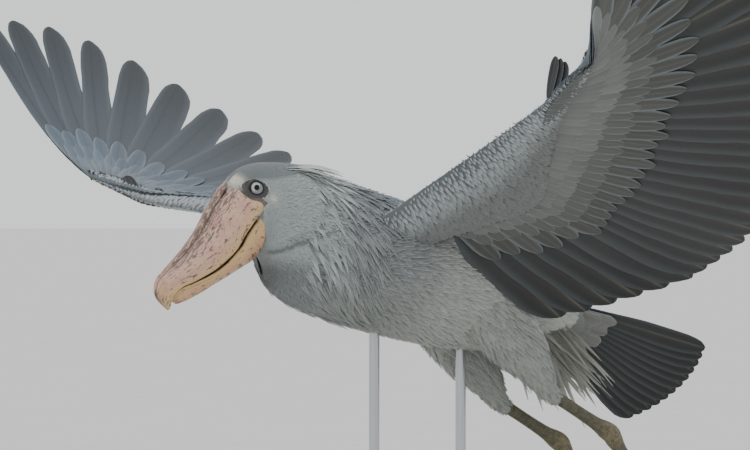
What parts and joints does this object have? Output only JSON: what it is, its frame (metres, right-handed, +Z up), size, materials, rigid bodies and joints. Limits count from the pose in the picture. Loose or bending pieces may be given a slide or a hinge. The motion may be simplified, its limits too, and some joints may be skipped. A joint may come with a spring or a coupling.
{
  "type": "shoebill",
  "caption": "Life-size still model of a shoebill in flight, wings raised and legs trailing, held above a flat base by rods",
  "frame": {"origin": "middle of the underside of the stand's flat base", "axes": "+Z up, the bird faces -Y, its left wing is on the +X side"},
  "size_m": [1.9173, 1.0577, 1.4613],
  "materials": {
    "pale_plumage": "soft pale grey body feathers, matt",
    "neck_plumage": "grey neck feathers with paler edges, matt",
    "wing_plumage": "slate-blue flight feathers and coverts, slight silk sheen",
    "bill_horn": "pinkish straw horn with grey-brown blotches, satin",
    "eye": "pale grey iris and black pupil under a wet clear surface",
    "leg_skin": "dark olive-brown scaled skin, horn-coloured claws",
    "stand_paint": "satin dark grey paint",
    "stand_steel": "brushed steel rods"
  },
  "bodies": {
    "root": {"head": "pale_plumage", "bill_upper": "bill_horn", "bill_lower": "bill_horn", "eye_left": "eye", "eye_right": "eye", "neck": "neck_plumage", "torso": "pale_plumage", "tail": "wing_plumage", "wing_left": "wing_plumage", "wing_right": "wing_plumage", "thigh_left": "pale_plumage", "thigh_right": "pale_plumage", "shank_left": "leg_skin", "shank_right": "leg_skin", "tarsus_left": "leg_skin", "tarsus_right": "leg_skin", "foot_left": "leg_skin", "foot_right": "leg_skin", "stand_base": "stand_paint", "stand_rod_front": "stand_steel", "stand_rod_back": "stand_steel"}
  },
  "joints": []
}
